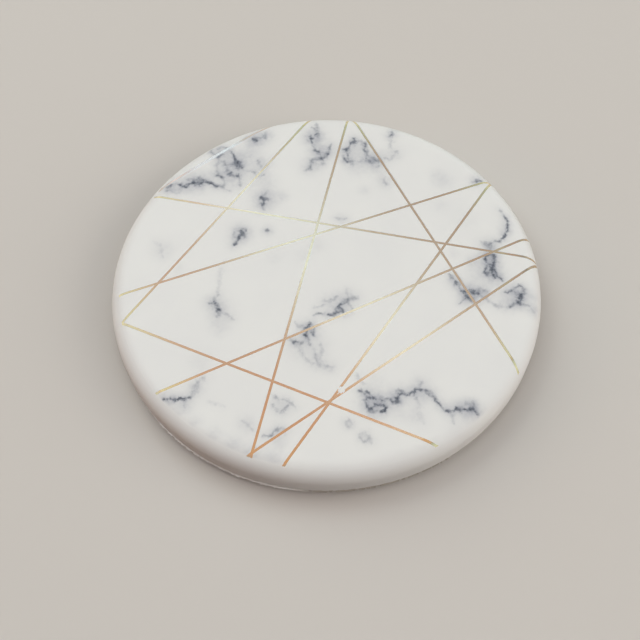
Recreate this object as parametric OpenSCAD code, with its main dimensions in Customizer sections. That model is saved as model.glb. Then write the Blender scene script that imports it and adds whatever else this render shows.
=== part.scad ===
// Round ceramic drink coaster with a marble decal, inlaid gold linework and a cork pad underneath.
// Origin: centre of the cork's underside, on the table. +Z is up, and +Y is away from the viewer.

/* [Disc] */
// Diameter over the glaze
coaster_d = 100; // [85:1:120]
// Height of the ceramic disc, without the cork
disc_h = 8.2; // [6.5:0.1:12]
// Radius of the rounded upper edge
shoulder_r = 4; // [2.5:0.1:4.5]
// Radius of the rounded lower edge
foot_r = 1.2; // [0.9:0.1:1.6]

/* [Glaze] */
// Thickness of the white coat on the top, the shoulder and the wall
glaze_t = 0.4; // [0.3:0.05:0.6]
// Thickness of the ragged flash that the coat left around the foot
flash_t = 0.15; // [0.1:0.01:0.3]
// How far the flash stays inside the wall
flash_inset = 0.02; // [0.01:0.01:0.4]
// Radius of the largest chip in the flash
chip_r = 0.5; // [0.3:0.05:0.8]
// Direction where the flash starts, in degrees
flash_start_angle = 214; // [180:1:230]
// Direction where the flash ends, in degrees
flash_end_angle = 300; // [250:1:330]
// Number of chips in the flash
chip_count = 40; // [8:1:50]

/* [Decal] */
// Least width of plain glaze between the decal's edge and the wall
decal_margin = 1.3; // [1.2:0.1:3]
// How far the decal was laid to the right of the centre
decal_shift_x = 0.9; // [-1:0.1:1]
// How far the decal was laid behind the centre
decal_shift_y = 0.6; // [-1:0.1:1]
// Thickness of the decal, let into the glaze
decal_t = 0.2; // [0.15:0.01:0.25]

/* [Gold linework] */
// Width of a gold line
line_w = 0.6; // [0.3:0.05:1.2]
// Thickness of the gold, let into the decal
gold_t = 0.1; // [0.06:0.01:0.13]

/* [Cork pad] */
// How far the cork's edge stays inside the wall
cork_inset = 4; // [2:0.5:10]
// Thickness of the cork pad
cork_t = 1.2; // [0.8:0.1:3]
// How far the adhesive stays inside the cork's edge
adhesive_inset = 0.5; // [0.2:0.1:2]
// Thickness of the adhesive film
adhesive_t = 0.15; // [0.1:0.01:0.4]

/* [Hidden] */
$fn = 180;

disc_r = coaster_d / 2;
seat_z = cork_t + adhesive_t;
top_z = seat_z + disc_h;
cork_r = disc_r - cork_inset;
adhesive_r = cork_r - adhesive_inset;
flash_r = disc_r - flash_inset;
decal_r = disc_r - decal_margin;
decal_centre = [decal_shift_x, decal_shift_y];

// Cutters run past the surface that they cut by this much
overrun = shoulder_r;

// Directions from the decal's centre, in degrees, of the two ends of each gold line
line_end_angles = [
    [93.5, 194.9],
    [151, 1.7],
    [186.1, 31.8],
    [194.9, 295.4],
    [218.5, 9.6],
    [82.3, 248.9],
    [81.4, 325.6],
    [31.9, 257.1],
    [0.8, 248.0],
    [148, 105.5]
];

// Chips differ in size and in place by these shares of their own size and spacing
chip_size_share = 0.45;
chip_place_share = 0.35;
// A chip lies at this share of its stretch of the rim
chip_centre_share = 0.5;
// Degrees from one chip to the next in the two waves that make them differ
chip_size_angle = 137;
chip_place_angle = 79;
// Most degrees between two corners of a wedge
sector_angle = 45;

// Point on the decal's edge in one direction from its centre
function edge_point(direction) = decal_centre + decal_r * [cos(direction), sin(direction)];

// Quarter of a disc in the corner between the axes
module quarter(r) {
    intersection() {
        circle(r = r);
        square(r);
    }
}

// Half of the disc's section, with every outer face moved in by the inset
module disc_section(inset) {
    shoulder_x = disc_r - shoulder_r;
    shoulder_y = disc_h - shoulder_r;
    foot_x = disc_r - foot_r;
    translate([0, inset]) square([shoulder_x, disc_h - 2 * inset]);
    translate([0, inset]) square([foot_x, shoulder_y - inset]);
    translate([0, foot_r]) square([disc_r - inset, shoulder_y - foot_r]);
    translate([shoulder_x, shoulder_y]) quarter(shoulder_r - inset);
    translate([foot_x, foot_r]) mirror([0, 1]) quarter(foot_r - inset);
}

// Round disc on the adhesive, with every outer face moved in by the inset
module rounded_disc(inset) {
    translate([0, 0, seat_z]) rotate_extrude() disc_section(inset);
}

// Everything over the decal's outline, from the start of the shoulder's curve up
module decal_column() {
    translate([decal_shift_x, decal_shift_y, top_z - shoulder_r]) cylinder(r = decal_r, h = shoulder_r + overrun);
}

// Upright blade as wide as a gold line, from one point of the decal's edge to another
module line_blade(start, end) {
    run = end - start;
    translate([start.x, start.y, top_z - shoulder_r])
        rotate(atan2(run.y, run.x))
            translate([-overrun, -line_w / 2, 0])
                cube([norm(run) + 2 * overrun, line_w, shoulder_r + overrun]);
}

module all_line_blades() {
    for (ends = line_end_angles) line_blade(edge_point(ends[0]), edge_point(ends[1]));
}

// The lines' grooves, open at the top, as deep as the gold
module line_grooves() {
    difference() {
        intersection() {
            all_line_blades();
            decal_column();
        }
        rounded_disc(gold_t);
    }
}

// Wedge that covers a disc of radius r in the directions from one angle to another
module sector(from, to, r) {
    steps = ceil((to - from) / sector_angle);
    reach = r / cos(sector_angle / 2);
    function corner(i) = reach * [cos(from + (to - from) * i / steps), sin(from + (to - from) * i / steps)];
    polygon([[0, 0], for (i = [0 : steps]) corner(i)]);
}

// Chips along the flash's rim, each with its own size and place
module flash_chips() {
    pitch = (flash_end_angle - flash_start_angle) / chip_count;
    for (i = [0 : chip_count - 1]) {
        size = chip_r * (1 - chip_size_share * (1 + sin(i * chip_size_angle)));
        place = i + chip_centre_share + chip_place_share * sin(i * chip_place_angle);
        rotate(flash_start_angle + place * pitch) translate([flash_r, 0]) circle(r = size);
    }
}

// Thin ragged edge that the coat left where it dried at the foot
module flash() {
    translate([0, 0, seat_z]) linear_extrude(flash_t) difference() {
        intersection() {
            circle(r = flash_r);
            sector(flash_start_angle, flash_end_angle, disc_r);
        }
        circle(r = disc_r - foot_r);
        flash_chips();
    }
}

// Pressed ceramic, bare on its underside
module biscuit() {
    rounded_disc(glaze_t);
    translate([0, 0, seat_z]) cylinder(r = disc_r - foot_r, h = 2 * glaze_t);
}

module cork_pad() {
    color("burlywood") cylinder(r = cork_r, h = cork_t);
}

module adhesive_film() {
    color("ivory") translate([0, 0, cork_t]) cylinder(r = adhesive_r, h = adhesive_t);
}

module ceramic_body() {
    color("linen") biscuit();
}

module glaze_coat() {
    color("whitesmoke") difference() {
        union() {
            rounded_disc(0);
            flash();
        }
        biscuit();
        difference() {
            decal_column();
            rounded_disc(decal_t);
        }
    }
}

module marble_decal() {
    color("lightsteelblue") difference() {
        intersection() {
            rounded_disc(0);
            decal_column();
        }
        rounded_disc(decal_t);
        line_grooves();
    }
}

module gold_linework() {
    color("goldenrod") intersection() {
        rounded_disc(0);
        line_grooves();
    }
}

cork_pad();
adhesive_film();
ceramic_body();
glaze_coat();
marble_decal();
gold_linework();
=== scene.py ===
import math

import bpy
import numpy as np
from mathutils import Matrix, Vector, geometry, noise


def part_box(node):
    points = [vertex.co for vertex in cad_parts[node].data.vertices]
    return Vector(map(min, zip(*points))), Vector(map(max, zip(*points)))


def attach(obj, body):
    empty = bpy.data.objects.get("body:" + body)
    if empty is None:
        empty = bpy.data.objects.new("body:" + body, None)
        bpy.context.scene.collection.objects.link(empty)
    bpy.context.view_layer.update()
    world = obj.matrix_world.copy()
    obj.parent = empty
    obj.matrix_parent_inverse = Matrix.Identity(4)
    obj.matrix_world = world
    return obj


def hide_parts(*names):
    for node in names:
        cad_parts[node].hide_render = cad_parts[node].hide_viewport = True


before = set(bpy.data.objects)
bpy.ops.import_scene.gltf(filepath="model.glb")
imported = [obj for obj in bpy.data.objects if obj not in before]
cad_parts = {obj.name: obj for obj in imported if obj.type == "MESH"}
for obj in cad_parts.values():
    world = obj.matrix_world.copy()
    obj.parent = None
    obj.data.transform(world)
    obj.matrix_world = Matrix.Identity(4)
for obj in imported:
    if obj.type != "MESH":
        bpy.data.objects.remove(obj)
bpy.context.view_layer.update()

MM = 0.001

# Sizes of the disc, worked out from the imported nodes
glaze_low, glaze_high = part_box("glaze_coat")
decal_low, decal_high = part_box("marble_decal")
cork_low, cork_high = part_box("cork_pad")
WALL_R = glaze_high.x
SEAT_Z = glaze_low.z
TOP_Z = decal_high.z
DECAL_R = (decal_high.x - decal_low.x) / 2
DECAL_X = (decal_high.x + decal_low.x) / 2
DECAL_Y = (decal_high.y + decal_low.y) / 2
DECAL_T = TOP_Z - glaze_high.z
CORK_R = cork_high.x
CORK_T = cork_high.z - cork_low.z

# Sizes that no box gives, the same as in the solids
SHOULDER_R = 4 * MM
GOLD_T = 0.1 * MM
LINE_W = 0.6 * MM
FLASH_TOP = 0.17 * MM

# Directions in degrees where the raised part of the flash starts and ends, and its reach past the wall
FLASH_START, FLASH_END = 219, 260
FLASH_REACH = 0.22 * MM

# Directions from the decal's centre, in degrees, of the two ends of each gold line
LINE_ENDS = [
    (93.5, 194.9), (151, 1.7), (186.1, 31.8), (194.9, 295.4), (218.5, 9.6),
    (82.3, 248.9), (81.4, 325.6), (31.9, 257.1), (0.8, 248.0), (148, 105.5),
]

# Small white spot across two gold lines, in millimetres: its place, its reach, and how noise frays it
WHITE_SPOT = (2.5, -30.2)
WHITE_SPOT_REACH = 0.75
WHITE_SPOT_FRAY = 0.8

# The print fades out over this distance from the decal's edge, in millimetres
EDGE_FADE = 0.5

# The marble's veins, drawn in plan, in millimetres from the coaster's centre:
# each stroke has its darkness, its half width, and the x and y of each point that it runs through
VEINS = [
    # chain at the upper left
    (0.75, 0.4, -38.7, 26.3, -38, 27, -37.3, 27.4),
    (0.28, 0.34, -37.3, 27.4, -36.2, 27.7, -35.2, 27.4),
    (0.26, 0.42, -38.4, 25.9, -37.2, 25.2, -35.8, 25, -34.9, 25.9),
    (0.95, 0.36, -35.3, 27.6, -34.7, 27, -33.9, 26.7, -33, 27.5, -32, 27.8),
    (1, 0.74, -31.9, 27.9, -31.1, 28.2, -30.1, 28, -29.5, 28.5),
    (0.9, 0.38, -28.9, 28.1, -28.1, 27.9, -27.3, 27.4, -26.6, 26.8, -26.1, 26.4),
    (0.38, 0.5, -33.4, 28.7, -32, 29.2, -30.4, 29.5),
    (0.4, 0.35, -26.1, 26.6, -25, 26.5, -24, 25.6, -22.8, 25.3),
    (0.35, 0.3, -30.6, 27.4, -30.3, 26.7),
    # arc and network beside it
    (0.95, 0.36, -23, 37.9, -22.5, 36.8, -21.8, 35.6, -21.3, 34.3),
    (1, 0.62, -21.3, 34.2, -20.9, 33.4, -20.6, 32.5),
    (0.55, 0.35, -20.6, 33.2, -19.9, 33.4),
    (0.22, 0.4, -20.2, 32.4, -19.2, 31.4, -18.2, 31),
    (0.38, 0.45, -24.9, 34.8, -24, 33.8, -22.7, 33.4, -21.5, 33.6),
    (0.42, 0.42, -24.3, 34, -24, 32.7, -23.6, 31.5, -22.9, 30.6, -22.9, 29.9),
    (0.68, 0.42, -23.4, 30.4, -22.4, 30, -21.4, 29.9, -20.8, 30.1),
    (0.85, 0.46, -26.3, 30.2, -25.5, 29.9, -24.9, 29.5),
    (0.35, 0.35, -24.9, 29.4, -24.3, 28.2, -24.4, 26.8),
    (0.35, 0.3, -20.7, 29.6, -20.4, 28.2, -20.3, 26.4),
    (0.3, 0.4, -25.9, 35.3, -26.5, 33.4, -26.1, 31.2),
    (0.5, 0.42, -28.4, 39.4, -28.2, 37.9, -27.2, 37.1),
    (0.6, 0.4, -26.2, 36.1, -25.3, 36.8, -24.6, 37.2),
    (0.45, 0.3, -26.6, 39, -25.2, 39.4, -24.2, 39, -23.2, 38.2),
    (0.8, 0.6, -17.3, 41.8, -16.7, 41.3, -16.3, 41.5),
    (0.35, 0.35, -17.4, 42, -15.4, 42.4, -14.3, 43.6, -14.2, 42),
    (0.35, 0.38, -16.2, 34.6, -15.7, 33.5, -15.2, 32.6),
    (0.45, 0.35, -17.6, 31.2, -16.5, 30.3, -15.5, 29.5, -14.7, 29.9),
    (0.92, 0.42, -15.2, 22.7, -14.8, 21.6, -14.6, 20.9, -14.9, 20.1),
    (0.4, 0.34, -14.9, 20.1, -14.6, 19.4, -14.2, 18.9),
    (0.5, 0.4, -14.7, 21.8, -13.8, 22.3, -13.3, 21.6),
    (0.35, 0.3, -13.6, 24.9, -14.2, 23.8, -14.9, 22.3),
    # pair at the top
    (0.38, 0.46, -1.1, 46.4, -0.9, 45, -1, 43.6, -0.8, 42.1),
    (0.75, 0.4, -1.3, 42.7, -0.8, 42.2),
    (0.35, 0.3, -2.1, 45.2, -1.4, 44.4),
    (0.92, 0.62, -2.7, 41.9, -2.5, 41.2),
    (0.45, 0.42, -2.7, 42.6, -2.4, 40.4),
    (0.34, 0.36, -2.3, 40.2, -1.9, 38.8, -1.5, 37.7),
    (0.85, 0.5, -1.5, 37.5, -0.8, 37, -0.6, 36.6),
    (0.38, 0.34, -0.8, 37, 0.1, 36.6, 0.9, 36.2, 1.5, 35.9),
    (0.58, 0.36, 1.6, 35.9, 1.9, 37, 2.1, 38.2, 2.5, 39.2),
    (0.65, 0.38, 1.7, 36, 1, 35.2, 0.2, 34.7, -0.3, 35),
    (0.42, 0.38, -0.2, 34.8, -1.4, 34.5, -2.5, 34, -2.8, 32.8, -3.2, 31.2),
    (0.38, 0.34, -0.1, 34.8, 0.2, 33.8, 0.6, 33),
    (0.3, 0.3, -2.1, 33.6, -1.2, 32.8, 0.2, 32.6, 0.6, 33.2),
    (0.4, 0.55, -3.8, 31.1, -3.1, 31.5),
    # ring right of it
    (0.6, 0.3, 5.5, 37.4, 6.2, 37.2, 6.9, 38.1, 7.6, 39.2),
    (0.9, 0.42, 6, 37.1, 6.5, 37.4),
    (0.92, 0.52, 8, 39.3, 8.3, 40.1, 8.4, 40.8),
    (0.42, 0.36, 8.9, 40.1, 9.8, 40.2, 10.6, 39.6, 11.2, 39.1),
    (0.66, 0.44, 11.1, 38.9, 11, 37.6, 11.4, 36.2, 11.5, 34.3),
    (0.35, 0.25, 10.6, 38.6, 10.7, 37.2, 11.1, 36.4),
    (0.65, 0.35, 6.4, 37, 6.6, 36, 6.8, 35, 6.6, 34, 6.2, 33.5),
    (0.66, 0.48, 6.1, 33.9, 6.6, 33.6, 7.1, 33.6),
    (0.5, 0.3, 5.5, 35.3, 5.8, 34.2, 6.2, 33.6),
    (0.35, 0.32, 7.1, 33.5, 7.7, 32.9, 7.6, 32),
    (0.3, 0.3, 7.8, 33.6, 9.2, 33.4, 10.6, 33.3, 11.4, 33.6),
    (0.42, 0.4, 11.7, 33.8, 12.4, 34.5, 13.2, 34.3, 13.8, 33.8),
    (0.62, 0.48, 13.7, 33.6, 14.4, 33.3),
    (0.5, 0.45, 12.2, 33.4, 12.6, 32.6),
    (0.4, 0.32, 14.3, 33.2, 14.6, 32.1, 13.9, 31.2),
    (0.3, 0.45, 16, 34.4, 16.9, 33.5, 17.7, 33.8, 18.4, 35, 19.1, 36.2),
    (0.6, 0.36, 18.4, 43.2, 18.1, 42.2, 17.8, 41.4),
    (0.22, 0.5, 17.6, 40.6, 17.8, 39.2, 17.4, 37.6),
    # arc and knot at the right
    (0.5, 0.28, 42.6, 16.7, 43, 15.6, 43.6, 14.5),
    (0.9, 0.24, 43.6, 14.5, 43.9, 13.1, 43.9, 11.8, 43.5, 10.6, 42.9, 9.4),
    (0.85, 0.34, 42.9, 9.4, 42.2, 8.2, 41.5, 7.6, 40.4, 7.4),
    (0.45, 0.3, 40.4, 7.4, 39.4, 7.1, 38.6, 6.4),
    (0.5, 0.7, 37.4, 7.2, 38.3, 6.3, 38.6, 5.2),
    (1, 0.36, 37.3, 3.6, 38.4, 3.6, 39.5, 3.6),
    (0.92, 0.32, 37.4, 3.4, 37.3, 2.4, 37.5, 1.7),
    (0.45, 0.26, 37.5, 1.6, 38.3, 0.9),
    (0.92, 0.38, 39.4, 3.4, 39.3, 2.2, 39.1, 1, 39, -0.4, 39.1, -1.6),
    (0.92, 0.4, 38.4, 0.9, 38.7, -0.3, 38.4, -1.3, 38.8, -2.8),
    (0.75, 0.34, 37.7, 0.8, 37, -0.4, 36.7, -1.1, 37.3, -1.6),
    (0.45, 0.28, 37.9, -1.2, 37.3, -2.2),
    (0.72, 0.3, 39.4, -2.2, 39.9, -2.9, 40.5, -3.6),
    (0.75, 0.3, 28.4, -1.2, 28.9, -2.1, 29.2, -2.7),
    (0.85, 0.32, 29.8, -3.3, 29.9, -4.2, 30.4, -5),
    (0.4, 0.28, 30.4, -5, 31, -5.9, 31.6, -6.6),
    (1, 0.5, 31.5, -6.2, 31.6, -7.1, 31.9, -8),
    (0.75, 0.4, 32, -8.1, 33, -8.4),
    (0.98, 0.66, 33.3, -6.6, 34, -6.9),
    (0.55, 0.36, 32.7, -5.9, 33.6, -6),
    (0.4, 0.5, 34.5, -6.4, 35.6, -6, 36.4, -6.4),
    (0.5, 0.24, 31.6, -8.4, 30.9, -8.9, 30.2, -9.6),
    (0.45, 0.26, 32.3, -8.6, 32.9, -9.4),
    (0.35, 0.4, 34.2, -7.1, 35, -7.5, 35.6, -8.3),
    (0.32, 0.34, 36.3, -7.5, 36.2, -8.6, 37, -9.6, 38, -10.4, 40, -10.8, 41.4, -10.6),
    (0.42, 0.28, 41.4, -10.7, 42.3, -10.2, 43.6, -10.1, 44.6, -10.5, 45.4, -10.7),
    (0.26, 0.5, 45.9, -11.5, 46.6, -12),
    (0.66, 0.28, 40.5, -6.7, 41.4, -6.9, 42.1, -6.7),
    (0.62, 0.3, 42.3, -6.5, 43.2, -5.4, 44.2, -5.1, 45, -6, 45, -7.3, 44.3, -7.9),
    (0.55, 0.28, 42.8, -7, 43.4, -7.6, 44.2, -7.8),
    (1, 0.46, 44.4, -7.7, 43.5, -8.1, 43.9, -8.8, 43.4, -9.6),
    (0.5, 0.28, 43.3, -9.6, 42.4, -9.8, 41.8, -9.9),
    (0.85, 0.34, 44.3, -8.2, 43.3, -8.9, 43.6, -10),
    (0.85, 0.34, 38, 25.6, 38.7, 25.9, 39.3, 25.9),
    (0.35, 0.35, 36.6, 25.3, 37.7, 25.8, 38.6, 26.6),
    # chain at the lower right
    (0.7, 0.26, 6.2, -30.2, 7.2, -31, 8.1, -30.8, 8.6, -31.6, 9.4, -32.1),
    (0.9, 0.34, 8.1, -32.2, 9, -32.3, 9.9, -32.6, 10.9, -33),
    (0.5, 0.24, 6.9, -31.3, 7.9, -31.8, 8.6, -32.3),
    (0.9, 0.32, 7.9, -32.3, 7.5, -33.2, 7.9, -34.2, 8.4, -34.8, 9.1, -34.5, 9.6, -34),
    (0.95, 0.36, 9.6, -34, 10.4, -33.8, 11.2, -34.2, 11.7, -34.5, 11.4, -35.2, 10.9, -35.6),
    (0.7, 0.3, 10.9, -35.6, 10, -35.3, 9, -35.4, 8.3, -34.9),
    (0.55, 0.26, 11, -32.9, 12, -32.8, 12.9, -32.9, 13.5, -33.2),
    (1, 0.42, 13.4, -33.3, 14, -33.5, 14.2, -32.8),
    (0.84, 0.28, 14.2, -32.8, 14.5, -31.9, 15.5, -31.7, 16.5, -31.9, 17.3, -31.4, 18, -31),
    (0.74, 0.28, 18, -31, 18.8, -30.7, 19.7, -30.8, 20.6, -30.9, 21.2, -31.3, 21.7, -31.6),
    (0.55, 0.4, 14.1, -31.2, 14.8, -30.9, 15.7, -31.2),
    (0.4, 0.28, 18.1, -31.2, 18, -32.2, 18.2, -32.9),
    (0.32, 0.34, 19.5, -30.7, 19.4, -29.8, 19.8, -28.7),
    (0.75, 0.28, 20, -31.4, 21, -31.9, 21.8, -32.3, 22.4, -33.3, 23, -34.2),
    (0.8, 0.26, 23, -34.2, 23.4, -35, 24, -35.7, 24.9, -35.9),
    (0.75, 0.26, 24.9, -35.9, 25.9, -35.6, 26.5, -35.2),
    (0.92, 0.46, 26.5, -35.4, 27.2, -35.4, 27.9, -35.7),
    (0.8, 0.26, 27.9, -35.7, 28.8, -35.9, 29.6, -35.7),
    (0.95, 0.38, 29.6, -35.7, 30.1, -35.3),
    (0.8, 0.3, 30.2, -35.6, 30.5, -36.2, 31, -36.7),
    (0.4, 0.32, 30, -35.1, 30.1, -34.3),
    (0.4, 0.32, 28.3, -34.6, 29, -34.2, 29.6, -34.4),
    (0.3, 0.35, 25.2, -36, 25.5, -37.2, 25.6, -38.6),
    (0.14, 0.6, 18.7, -33.6, 18.9, -36, 19.2, -38.4),
    # centre
    (0.48, 0.55, 6.6, -7.1, 5.4, -7.2, 4.5, -7.5),
    (0.32, 0.45, 4.8, -6.8, 4.8, -6, 4.6, -5),
    (0.45, 0.3, 4.6, -7.8, 4.2, -8.3, 3.8, -8.6),
    (0.92, 0.3, 3.8, -8.7, 3.1, -8.8, 2.6, -9.3, 3.1, -9.8, 3.6, -10.3, 3.8, -10.9),
    (0.5, 0.22, 3.7, -11, 3.1, -10.9, 2.2, -10.6, 2, -9.8, 2.5, -9.2),
    (1, 0.3, 2.3, -10.8, 1.6, -11.2, 0.9, -11.5, 0.1, -11.3),
    (0.6, 0.22, 0.1, -11.3, -0.8, -11.3, -1.8, -11.2, -2.7, -11.4),
    (0.35, 0.28, -0.8, -7.5, 0.4, -7.9, 1.4, -7.6, 2, -6.9, 2.6, -6.5),
    (0.3, 0.26, -0.4, -8.7, -1.7, -9.2, -2.9, -9.6),
    (0.3, 0.3, 4.9, -8.6, 5.6, -9.6, 5.3, -10.9),
    (0.35, 0.28, -3.9, -13, -3.6, -13.7),
    (1, 0.34, -5, -14.4, -4.2, -14.3, -3.7, -14),
    (1, 0.3, -4.9, -14.6, -4.8, -15.8, -4.8, -17),
    (0.48, 0.3, -4.7, -16.8, -4.3, -17.9, -3.9, -19.1),
    (0.75, 0.28, -3.9, -15.2, -3.4, -15.9, -3.1, -16.5),
    (0.65, 0.26, -3.2, -14.7, -3, -15.7),
    (0.28, 0.34, -8.6, -17.8, -7.6, -18.1),
    (0.6, 0.36, -7.6, -18.1, -6.7, -18.4, -5.9, -18.5),
    (0.3, 0.3, -5.9, -18.5, -5.4, -18.1, -4.9, -17.4),
    (0.35, 0.28, -7.5, -18.1, -8.1, -17.4, -8.8, -17),
    (0.26, 0.4, -7, -19, -5.9, -20.6, -5.3, -21.9, -4.5, -23, -3.4, -23.8),
    (0.32, 0.38, -3.2, -19.9, -2.9, -21.2, -2.6, -22.6, -2.2, -23.8),
    (0.25, 0.3, -1.6, -18.4, -1.4, -20.6, -1.7, -22.8),
    (0.22, 0.42, -2, -24.1, -0.8, -24.5, 0.8, -24.8),
    (0.3, 0.3, -7.2, -13.1, -6.7, -14.1, -5.6, -14.4),
    # left
    (0.72, 0.62, -20, 12.7, -19.5, 11.6),
    (0.55, 0.48, -19.3, 12.5, -18.9, 11),
    (0.48, 0.42, -19.8, 13.3, -18.9, 12.9),
    (0.88, 0.4, -20.2, 11.4, -20.7, 10.2, -21.1, 9.4, -21.5, 8.7),
    (0.3, 0.45, -21.4, 12.2, -21.3, 11),
    (0.8, 0.34, -13.8, 12.8, -13.4, 12.5),
    (1, 0.4, -26.4, -7.3, -25.4, -7.6, -24.9, -8.4, -24.5, -9.3),
    (0.3, 0.38, -25.6, -6.9, -25, -5.8, -24.7, -5.2),
    (0.55, 0.32, -24.5, -9.3, -24.5, -10.3, -24.9, -11.2),
    (0.28, 0.32, -23.2, -10.3, -22.2, -10.8, -21, -11.8),
    (0.15, 0.6, -24.3, 1.8, -24.5, -1, -24.8, -4.6),
    (1.3, 0.46, -37.8, -31.2, -37, -31.6, -36.6, -31.5),
    (1.15, 0.28, -35.5, -31.2, -34.4, -31.1, -33.1, -31.3, -32, -31.2, -31, -31.3),
    (0.7, 0.24, -31, -31.3, -30.3, -31.2, -29.8, -30.9),
    (0.32, 0.5, -29.6, -31, -29.1, -30, -28.5, -29.3, -28.6, -28.3, -28.1, -27.2, -27, -26.3),
    (0.3, 0.28, -31, -31.5, -30.7, -33.1),
    (0.16, 0.45, -40.2, 10.1, -38.7, 8.6, -38.1, 5.8),
    (0.14, 0.36, -26, -31.9, -24.2, -32.6, -22.4, -33.2),
    (0.26, 0.34, -18.9, -36.6, -18, -37.2, -17, -38.1, -16.2, -39),
    (0.44, 0.26, -12.6, -40.2, -11.6, -39.1, -10.6, -38.8, -9.6, -39.2),
    (0.36, 0.26, -14.2, -40.1, -13.2, -40.4, -12.4, -40.2),
    (0.42, 0.28, -12.3, -33.2, -11.4, -34.2, -10.6, -34.9, -9.8, -34.3, -9, -33.4),
    (0.32, 0.28, -12.1, -31.3, -10.4, -32.1, -8.8, -32.3, -7.9, -33.2, -7.4, -34.2),
    # faint marks
    (0.3, 0.26, 3, -37.6, 3.6, -37.2, 4.5, -37.5, 4.7, -38.3, 4.1, -38.9, 3.2, -38.6, 3, -37.6),
    (0.3, 0.26, 6.1, -40.6, 7.1, -40.3, 7.8, -41.2, 7.4, -42.1, 6.3, -42.1, 5.9, -41.3, 6.1, -40.6),
    (0.25, 0.3, 7.8, -41.6, 8.4, -42.6),
    (0.3, 0.35, 2.9, 15.7, 4.2, 15.1, 5.4, 15.4),
    (0.3, 0.5, 15.4, 27, 15.8, 25.6),
    (0.25, 0.35, 6, -26.4, 6.3, -27.6, 7.3, -28.9),
]

# Soft grey clouds of the marble, and a row of painted shade along the near-left rim: place, radius and
# darkness, in millimetres
CLOUDS_AND_PAINTED_SHADE = [
    (-32, 28, 3.2, 0.3), (-37, 26.3, 2.2, 0.3), (-23.5, 32.5, 3.6, 0.34), (-25.5, 38, 2.2, 0.3),
    (-21, 34.5, 2, 0.25), (-22, 28, 2.6, 0.22), (-17, 41.5, 2.6, 0.34), (-14, 42.8, 2, 0.25),
    (-16, 31.5, 2.6, 0.18), (-14.2, 22.2, 2.8, 0.34), (-13.5, 27.5, 2.6, 0.14), (-10, 23, 1.6, 0.2),
    (-1.5, 42, 2.6, 0.26), (0.4, 37.2, 2.6, 0.28), (-2.2, 32.8, 2.4, 0.26), (-18.2, 36.8, 2.8, 0.24),
    (8.6, 37, 2.9, 0.16), (12.5, 34.2, 2.6, 0.28), (9, 32, 3.2, 0.16), (13.8, 30.6, 2.4, 0.16),
    (18, 35.4, 2.4, 0.16), (18, 42, 1.6, 0.22), (15.4, 26.4, 1.9, 0.2), (10.2, 24, 1.6, 0.12),
    (29.6, 26.2, 2.4, 0.18), (28.6, 28.6, 1.8, 0.1), (38.2, 26, 1.8, 0.2), (28.4, 18.6, 2, 0.08),
    (43.2, 11.5, 1.7, 0.18), (38.6, 5.8, 2, 0.28), (38.6, 2, 1.9, 0.24), (38.4, -2, 2.6, 0.3),
    (35, -1.5, 3, 0.16), (30, 4.4, 1.4, 0.12), (33, -7, 2.2, 0.34), (35.6, -6.6, 1.6, 0.22),
    (43.6, -7.4, 2.4, 0.26), (40.5, -9, 2.6, 0.18), (46.6, -11.5, 1.5, 0.2), (29.6, -3.6, 1.6, 0.24),
    (9.2, -33.6, 2.9, 0.36), (14.2, -32.2, 2, 0.26), (19.6, -31.6, 2.4, 0.2), (27.6, -35.6, 2.4, 0.18),
    (30.2, -35.6, 1.7, 0.24), (17.6, -36.4, 2, 0.12), (9.8, -28.4, 2, 0.1), (19, -28.8, 1.8, 0.1),
    (3, -9.4, 2.6, 0.18), (4.8, -6.4, 2, 0.04), (0.6, -7.8, 2.2, 0.1), (-4.4, -15.8, 2.2, 0.2),
    (-6.6, -17.8, 1.8, 0.04), (-3.8, -21.4, 3, 0.11), (-0.2, -24.6, 1.8, 0.16),
    (-1.2, -18.6, 2.2, 0.06), (-20, 11.4, 2.2, 0.2), (-13.6, 12.6, 1.3, 0.14), (-25, -7.8, 2.6, 0.16),
    (-23.6, -10.8, 2.6, 0.12), (-24, -14, 2.2, 0.12), (-33.6, -31.2, 1.7, 0.24),
    (-28.6, -28.6, 1.8, 0.26), (-10.4, -33.6, 2.3, 0.18), (-11, -39.4, 1.7, 0.22),
    (-17.4, -37.6, 1.7, 0.14), (3.8, -38, 1.3, 0.2), (6.9, -41.2, 1.5, 0.18), (4.2, 15.4, 1.7, 0.14),
    (-2, 8, 1.9, 0.12), (-5, 5, 2, 0.08), (-38.6, 8, 2.6, 0.12), (-34, 2.2, 1.2, 0.1),
    (-12, 4.6, 1.6, 0.08), (-28, -22.6, 2.4, 0.1), (-17, 27, 2.4, 0.1), (-14.5, 34, 2.2, 0.18),
    (34.5, 2, 1.8, 0.24), (-10.4, -42, 1.3, 0.14), (12.8, 33, 1.1, 0.26), (47, -8, 1.6, 0.12),
    # Painted shade along the near-left rim, not marble: the places from (-12, -45.4) to (-32.4, -34) below
    (34, 14, 3, 0.06), (-8, -20.6, 2.2, 0.05), (-30.6, -33.4, 1.6, 0.14), (-12, -45.4, 2, 0.24),
    (-16.5, -44, 2.2, 0.24), (-20.5, -42.2, 2, 0.22), (-24.5, -39.8, 1.8, 0.2),
    (-28.5, -36.8, 1.6, 0.14), (-32.4, -34, 1.4, 0.12), (14.5, -36.4, 1.6, 0.1), (-1, 40.6, 1, 0.14),
]

STROKES = [(darkness, half_width, np.reshape(path, (-1, 2))) for darkness, half_width, *path in VEINS]

# The print's plan; it and the meshes' sizes below are in millimetres
PRINT_CENTRE = np.array([DECAL_X, DECAL_Y]) / MM
PRINT_R = DECAL_R / MM
HALF_LINE = LINE_W / MM / 2
FLAT_R = (WALL_R - SHOULDER_R) / MM

# Spacing of the print's points near the veins, on the shoulder and on the flat; the reach of each zone
VEIN_SPACING, SHOULDER_SPACING, FLAT_SPACING = 0.27, 0.42, 0.66
VEIN_ZONE, SHOULDER_ZONE, GRID_REACH = 1.15, 0.4, 51

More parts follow.
